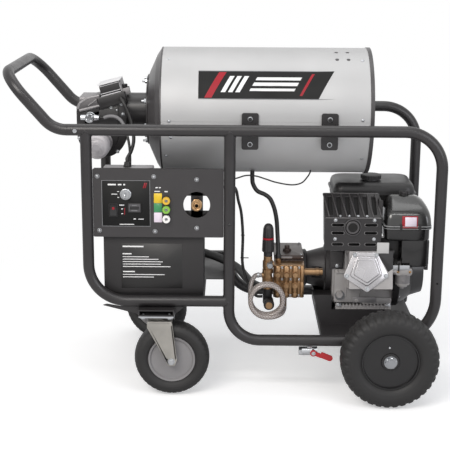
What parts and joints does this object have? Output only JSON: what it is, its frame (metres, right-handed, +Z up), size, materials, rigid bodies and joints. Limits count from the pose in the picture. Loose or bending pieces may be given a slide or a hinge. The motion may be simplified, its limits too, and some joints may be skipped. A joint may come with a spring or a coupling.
{
  "type": "hot water pressure washer cart",
  "caption": "Hot-water pressure washer on a tubular cart: heater tank with burner, engine-driven pump, control panel, pneumatic wheels and swivel casters.",
  "frame": {"origin": "on the floor under the middle of the machine", "axes": "+X from the push handle to the engine end, +Y from the control panel to the far side, +Z up"},
  "size_m": [1.4599, 0.842, 1.1569],
  "materials": {
    "frame_paint": "satin charcoal powder coat",
    "black_steel": "satin black paint",
    "panel_paint": "satin dark grey powder coat",
    "box_paint": "light grey paint",
    "bright_wrap": "brushed bright sheet",
    "zinc": "bright zinc plate",
    "motor_paint": "light grey gloss paint",
    "chrome": "polished",
    "brass": "cast brass",
    "alloy": "cast aluminium",
    "dark_alloy": "dark cast aluminium",
    "pump_case": "dark brown-grey anodised casting",
    "black_plastic": "moulded black plastic",
    "gloss_black": "gloss black",
    "rubber_hose": "matt black rubber",
    "braid_hose": "clear braided hose",
    "grommet": "matt black rubber",
    "yellow": "yellow",
    "green": "green",
    "white": "white",
    "red": "red dipped vinyl",
    "axle_steel": "bare steel",
    "rear_tyre": "black rubber",
    "caster_tyre": "black rubber"
  },
  "bodies": {
    "cart": {"side_frame_near": "frame_paint", "side_frame_far": "frame_paint", "push_handle": "frame_paint", "handle_bolts": "zinc", "caster_crossmember": "black_steel", "caster_mounts": "zinc", "tank_tray": "black_steel", "rear_axle": "axle_steel", "engine_deck": "black_steel", "tank_brackets": "black_steel", "heater_shell_upper": "bright_wrap", "heater_shell_lower": "bright_wrap", "heater_drum": "black_steel", "burner_flange": "frame_paint", "burner_housing": "black_steel", "burner_motor": "motor_paint", "ignition_box": "box_paint", "fuel_pump": "chrome", "burner_fuel_hose": "rubber_hose", "burner_cable": "rubber_hose", "control_panel": "panel_paint", "control_enclosure": "box_paint", "hour_meter": "gloss_black", "nozzle_rack": "grommet", "outlet_bracket": "brass", "burner_fuel_tank": "black_plastic", "pump_crankcase": "pump_case", "pump_manifold": "brass", "bell_housing": "black_steel", "unloader_body": "brass", "bypass_hose": "braid_hose", "suction_hose": "rubber_hose", "pressure_hose": "rubber_hose", "water_inlet": "brass", "engine_block": "dark_alloy", "rocker_cover": "alloy", "muffler": "black_steel", "air_cleaner": "black_plastic", "carburettor": "alloy", "engine_fuel_tank": "black_steel", "blower_housing": "black_steel", "drain_valve": "zinc", "sensor_cables": "rubber_hose"},
    "key": {"key_switch": "zinc"},
    "rocker": {"rocker_switch": "gloss_black"},
    "tip_15": {"nozzle_15": "yellow"},
    "tip_25": {"nozzle_25": "green"},
    "tip_40": {"nozzle_40": "white"},
    "coupler_collar": {"coupler_sleeve": "brass"},
    "burner_cap": {"burner_fuel_cap": "gloss_black"},
    "pressure_knob": {"unloader_knob": "gloss_black"},
    "engine_cap": {"engine_fuel_cap": "gloss_black"},
    "starter_grip": {"recoil_grip": "black_plastic"},
    "valve_lever": {"drain_lever": "red"},
    "wheel_near": {"rear_wheel_near": "rear_tyre"},
    "wheel_far": {"rear_wheel_far": "rear_tyre"},
    "fork_near": {"caster_fork_near": "zinc"},
    "fork_far": {"caster_fork_far": "zinc"},
    "caster_near": {"caster_wheel_near": "caster_tyre"},
    "caster_far": {"caster_wheel_far": "caster_tyre"}
  },
  "joints": [
    {"name": "key_turn", "type": "hinge", "parent": "cart", "child": "key", "pos_m": [-0.325, -0.287, 0.701], "axis": [0, 1, 0], "range_deg": [-45, 45]},
    {"name": "rocker_rock", "type": "hinge", "parent": "cart", "child": "rocker", "pos_m": [-0.366, -0.286, 0.647], "axis": [1, 0, 0], "range_deg": [0, 12]},
    {"name": "tip_15_pull", "type": "slide", "parent": "cart", "child": "tip_15", "axis": [0, -1, 0], "range_m": [0, 0.03]},
    {"name": "tip_25_pull", "type": "slide", "parent": "cart", "child": "tip_25", "axis": [0, -1, 0], "range_m": [0, 0.03]},
    {"name": "tip_40_pull", "type": "slide", "parent": "cart", "child": "tip_40", "axis": [0, -1, 0], "range_m": [0, 0.03]},
    {"name": "collar_slide", "type": "slide", "parent": "cart", "child": "coupler_collar", "axis": [0, 1, 0], "range_m": [0, 0.006], "stiffness_N_per_m": 400, "springref_m": -0.002},
    {"name": "burner_cap_turn", "type": "hinge", "parent": "cart", "child": "burner_cap", "pos_m": [-0.34, -0.0531, 0.57], "axis": [0, 0, 1], "range_deg": [0, 90]},
    {"name": "pressure_knob_turn", "type": "hinge", "parent": "cart", "child": "pressure_knob", "pos_m": [0.15, -0.172, 0.52], "axis": [0, 0, 1], "range_deg": [-360, 360]},
    {"name": "engine_cap_turn", "type": "hinge", "parent": "cart", "child": "engine_cap", "pos_m": [0.517, 0.03, 0.7], "axis": [0, 0, 1], "range_deg": [0, 90]},
    {"name": "starter_pull", "type": "slide", "parent": "cart", "child": "starter_grip", "axis": [1, 0, 0], "range_m": [0, 0.5], "stiffness_N_per_m": 20, "springref_m": -0.1},
    {"name": "drain_lever_turn", "type": "hinge", "parent": "cart", "child": "valve_lever", "pos_m": [0.304, -0.3073, 0.16], "axis": [0, 1, 0], "range_deg": [0, 90]},
    {"name": "wheel_near_spin", "type": "hinge", "parent": "cart", "child": "wheel_near", "pos_m": [0.553, -0.368, 0.165], "axis": [0, 1, 0], "continuous": true},
    {"name": "wheel_far_spin", "type": "hinge", "parent": "cart", "child": "wheel_far", "pos_m": [0.553, 0.368, 0.165], "axis": [0, 1, 0], "continuous": true},
    {"name": "fork_near_swivel", "type": "hinge", "parent": "cart", "child": "fork_near", "pos_m": [-0.225, -0.269, 0.28], "axis": [0, 0, 1], "continuous": true},
    {"name": "fork_far_swivel", "type": "hinge", "parent": "cart", "child": "fork_far", "pos_m": [-0.225, 0.269, 0.28], "axis": [0, 0, 1], "continuous": true},
    {"name": "caster_near_spin", "type": "hinge", "parent": "fork_near", "child": "caster_near", "pos_m": [-0.176, -0.269, 0.13], "axis": [0, 1, 0], "continuous": true},
    {"name": "caster_far_spin", "type": "hinge", "parent": "fork_far", "child": "caster_far", "pos_m": [-0.26743, 0.2935, 0.13], "axis": [-0.5, -0.866, 0], "continuous": true}
  ]
}
